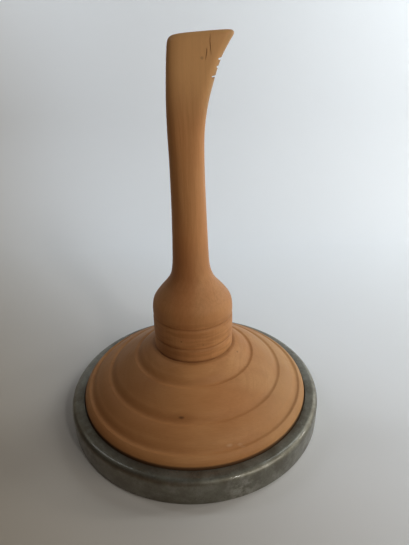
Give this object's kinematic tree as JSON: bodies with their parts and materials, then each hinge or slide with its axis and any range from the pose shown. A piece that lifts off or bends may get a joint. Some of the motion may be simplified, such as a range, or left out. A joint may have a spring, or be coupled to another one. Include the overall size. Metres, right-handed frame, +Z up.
{
  "type": "ice stock",
  "caption": "Wooden ice stock: a turned, coved conical body in a steel ring, with an upright carved handle hooked at the top and a flat sliding sole.",
  "frame": {"origin": "centre of the sliding face of the running sole, where the stock stands on the ice", "axes": "+Z up along the axis the body is turned on, +X the way the hook of the handle points"},
  "size_m": [0.27, 0.27, 0.3736],
  "materials": {
    "ring_steel": "satin, handled",
    "body_wood": "turned, oiled satin",
    "handle_wood": "carved, oiled satin",
    "dowel_wood": "raw beech",
    "insert_brass": "turned",
    "zinc_steel": "zinc plated",
    "sole_plastic": "satin"
  },
  "bodies": {
    "root": {"steel_ring": "ring_steel", "body": "body_wood", "handle": "handle_wood", "handle_insert": "insert_brass", "tie_bolt": "zinc_steel", "flat_washer": "zinc_steel", "spring_washer": "zinc_steel", "anti_turn_dowel_1": "dowel_wood", "anti_turn_dowel_2": "dowel_wood", "running_sole": "sole_plastic", "sole_plug": "sole_plastic", "sole_screw_1": "zinc_steel", "sole_screw_2": "zinc_steel", "sole_screw_3": "zinc_steel", "sole_screw_4": "zinc_steel", "sole_screw_5": "zinc_steel", "sole_screw_6": "zinc_steel", "sole_screw_7": "zinc_steel", "sole_screw_8": "zinc_steel"}
  },
  "joints": []
}
